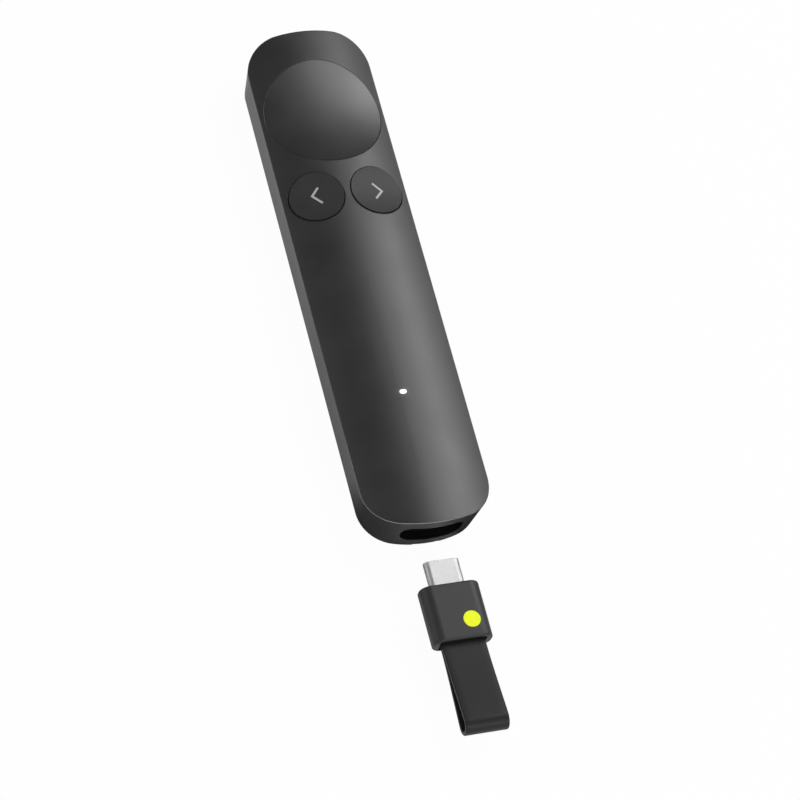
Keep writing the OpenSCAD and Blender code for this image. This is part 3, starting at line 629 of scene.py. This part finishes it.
def chevron(tip, end_a, end_b):
    """The outline of an angle mark with square ends, from its tip and two ends."""
    tip, a, b = Vector(tip), Vector(end_a), Vector(end_b)
    along_a, along_b = (a - tip).normalized(), (b - tip).normalized()
    side_a, side_b = Vector((-along_a.y, along_a.x)), Vector((-along_b.y, along_b.x))
    if side_a.dot(along_b) > 0:
        side_a = -side_a
    if side_b.dot(along_a) > 0:
        side_b = -side_b
    half = CHEVRON_STROKE / 2
    middle = (along_a + along_b).normalized()
    reach = half / math.sqrt(1 - middle.dot(along_a) ** 2)
    points = [a + side_a * half, tip - middle * reach, b + side_b * half,
              b - side_b * half, tip + middle * reach, a - side_a * half]
    return [(p.x, p.y) for p in points]


def disc(x, y, r):
    turns = [2 * math.pi * i / DOT_POINTS for i in range(DOT_POINTS)]
    return [(x + r * math.cos(a), y + r * math.sin(a)) for a in turns]


def make_marks():
    film("back_mark", chevron((-8.23, 21.08), (-6.49, 22.93), (-6.29, 18.76)),
         "back_button", "mark_ink", "back")
    film("next_mark", chevron((8.58, 20.46), (6.59, 22.53), (6.63, 18.43)),
         "next_button", "mark_ink", "next")
    film("receiver_dot", disc(2.64, -87.75, 1.95),
         "receiver_shell", "dot_ink", "receiver", step=0.4)


# Floor: nearly plain white where it is seen directly. What glossy surfaces mirror of it is
# graded by place, which paints reflections and shade on the handset: brighter below its long
# walls and the receiver, darker below the slot end's wall, and black beside its corners.
FLOOR_HALF = 6  # metres
FLOOR_DROP = 0.02  # how far it lies below the object's foot
FLOOR_COLOR = (0.8, 0.8, 0.8)
FLOOR_SEEN = 0.97  # the white's share where the floor is seen, which leaves the rest to shadows
# Painted reflection: the white's share in what is mirrored, by places along the handset, and the
# share there
PAINTED_REFLECTION_SIDES = ((-70, 50), (0.17, 0.68))  # below the long walls
PAINTED_REFLECTION_END = ((-56, -34), (0.03, 0.6))  # less than that below the slot end's wall
PAINTED_REFLECTION_FRONT = ((-100, -71), (1.0, 0.0))  # more again below the receiver
# Painted shade in reflections: how dark the floor is mirrored beside the slot end's corners, by
# places across, and the share
CORNER_SHADE_LEFT = ((-4, -13), (0, 0.75))
CORNER_SHADE_RIGHT = ((3, 9), (0, 1.0))
CORNER_SHADE_FROM, CORNER_SHADE_TO = (-46, -55), (-75, -69)  # places along the handset


def make_floor():
    n = Material("floor")
    path = n.add("ShaderNodeLightPath").outputs
    x, y, _ = n.split(n.coord)

    def over(value, places, share):
        return n.ramp(value, mm(*places), share)

    seen = n.math("MAXIMUM", path["Is Camera Ray"], path["Is Transmission Ray"])
    # Painted reflection: glossy rays see the floor's white graded along the handset, which lights
    # and shades its walls
    along = n.math("MAXIMUM", n.math("MINIMUM", over(y, *PAINTED_REFLECTION_SIDES), over(y, *PAINTED_REFLECTION_END)),
                   over(y, *PAINTED_REFLECTION_FRONT))
    white = n.math("MAXIMUM", n.math("MULTIPLY", seen, FLOOR_SEEN),
                   n.math("MULTIPLY", path["Is Glossy Ray"], along))
    # Painted shade in reflections: beside the slot end's corners, glossy rays see the floor black
    beside = n.math("ADD", over(x, *CORNER_SHADE_LEFT), over(x, *CORNER_SHADE_RIGHT))
    dark = n.product(path["Is Glossy Ray"], beside,
                     over(y, CORNER_SHADE_FROM, (0, 1)), over(y, CORNER_SHADE_TO, (0, 1)))

    lit = n.add("ShaderNodeBsdfDiffuse", {"Color": rgba(FLOOR_COLOR)}).outputs["BSDF"]
    floor_shader = n.mix_shaders(dark, n.mix_shaders(white, lit, n.emission(1.0)), n.emission(0.0))
    n.feed(n.out.inputs["Surface"], floor_shader)

    bm = bmesh.new()
    bmesh.ops.create_grid(bm, x_segments=1, y_segments=1, size=FLOOR_HALF)
    floor = placed("floor", mesh_from(bm, "floor"))
    floor.location.z = -FLOOR_DROP * MM
    floor.data.materials.append(n.mat)


# Room: dim, but white where it is seen directly or through something, and glossy surfaces
# mirror its white band along the horizon
ROOM_DIM = 0.03
HORIZON_BAND = (0.03, 0.12)  # heights on a sphere of radius 1, from white to dim


def make_room():
    world = bpy.data.worlds.new("world")
    bpy.context.scene.world = world
    world.use_nodes = True
    n = Nodes(world.node_tree)
    path = n.add("ShaderNodeLightPath").outputs
    height = n.split(n.add("ShaderNodeTexCoord").outputs["Generated"])[2]
    seen = n.math("MAXIMUM", path["Is Camera Ray"], path["Is Transmission Ray"])
    band = n.math("MULTIPLY", path["Is Glossy Ray"], n.ramp(height, HORIZON_BAND, (1, 0)))
    background = n.tree.nodes["Background"]
    n.feed(background.inputs["Color"], rgba((1, 1, 1)))
    n.feed(background.inputs["Strength"],
           n.ramp(n.math("MAXIMUM", seen, band), (0, 1), (ROOM_DIM, 1.0)))


dress_nodes()
make_strap()
make_marks()
make_floor()
make_room()
for lamp in LAMPS:
    softbox(*lamp)
make_camera()
bpy.context.scene.view_settings.view_transform = "Standard"
